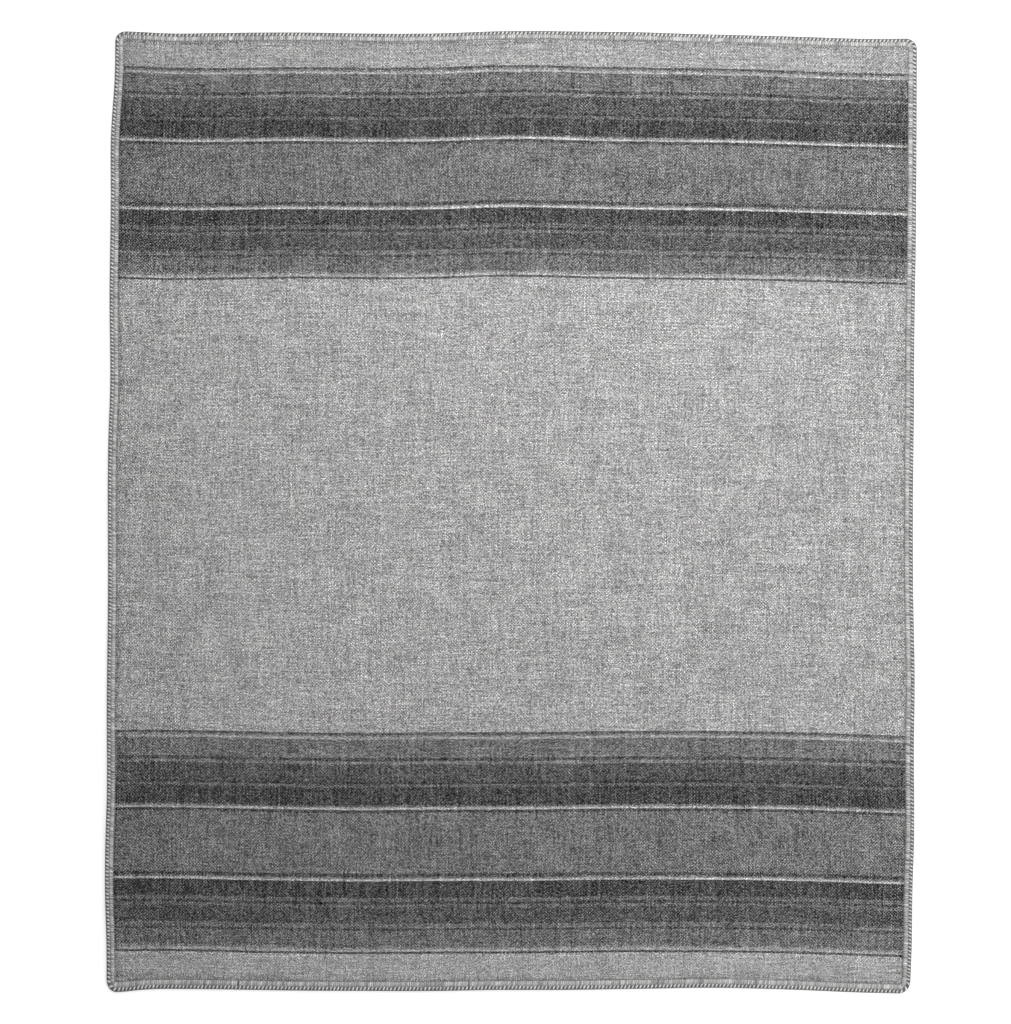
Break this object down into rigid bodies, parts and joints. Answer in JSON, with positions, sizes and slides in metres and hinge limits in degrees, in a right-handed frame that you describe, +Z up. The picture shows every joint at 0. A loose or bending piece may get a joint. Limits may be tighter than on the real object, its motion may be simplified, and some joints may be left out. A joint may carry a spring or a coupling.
{
  "type": "blanket",
  "caption": "Rectangular woven camp blanket lying flat, with cross stripes at both ends, raised corded ribs, rounded corners and an overlocked rope-like edge; folds in half.",
  "frame": {"origin": "centre of the laid-flat footprint, on the surface the blanket lies on", "axes": "+Y towards the head end (top stripe group), +X to the right, +Z up out of the face side"},
  "size_m": [1.277, 1.524, 0.0046],
  "materials": {
    "ground_yarn": "heathered light grey wool-blend weft, matte and slightly brushed",
    "mid_grey_yarn": "heathered mid grey wool-blend weft, matte and slightly brushed",
    "mid_dark_yarn": "heathered mid-dark grey wool-blend weft, matte and slightly brushed",
    "dark_yarn": "heathered dark grey wool-blend weft, matte and slightly brushed",
    "charcoal_yarn": "heathered charcoal wool-blend weft, matte and slightly brushed",
    "cord_yarn": "plied off-white weft packed into a raised cord, soft",
    "pinstripe_yarn": "pale grey weft mixed with dark, matte",
    "dark_line_yarn": "near-black weft sunk into the cloth, matte",
    "pale_edging_thread": "bulky off-white overlock yarn, soft sheen",
    "dark_edging_thread": "bulky dark grey overlock yarn, matte",
    "needle_thread": "fine mid grey sewing thread, matte"
  },
  "bodies": {
    "foot_half": {"foot_end_ground": "ground_yarn", "foot_mid_dark_inner": "mid_dark_yarn", "foot_dark_inner": "dark_yarn", "foot_charcoal_inner": "charcoal_yarn", "foot_mid_grey": "mid_grey_yarn", "foot_charcoal_outer": "charcoal_yarn", "foot_dark_outer": "dark_yarn", "foot_mid_dark_outer": "mid_dark_yarn", "foot_corded_ribs": "cord_yarn", "foot_pinstripes": "pinstripe_yarn", "foot_dark_lines": "dark_line_yarn", "foot_centre_field": "ground_yarn", "foot_purl": "pale_edging_thread", "foot_upper_looper": "pale_edging_thread", "foot_under_looper": "dark_edging_thread", "foot_needle_thread": "needle_thread"},
    "head_half": {"head_end_ground": "ground_yarn", "head_mid_dark_outer": "mid_dark_yarn", "head_dark_outer": "dark_yarn", "head_charcoal_outer": "charcoal_yarn", "head_mid_grey": "mid_grey_yarn", "head_charcoal_inner": "charcoal_yarn", "head_dark_inner": "dark_yarn", "head_mid_dark_inner": "mid_dark_yarn", "head_corded_ribs": "cord_yarn", "head_pinstripes": "pinstripe_yarn", "head_dark_lines": "dark_line_yarn", "head_centre_field": "ground_yarn", "head_purl": "pale_edging_thread", "head_upper_looper": "pale_edging_thread", "head_under_looper": "dark_edging_thread", "head_needle_thread": "needle_thread"}
  },
  "joints": [
    {"name": "fold_in_half", "type": "hinge", "parent": "foot_half", "child": "head_half", "pos_m": [0, 0, 0.005], "axis": [1, 0, 0], "range_deg": [0, 180]}
  ]
}
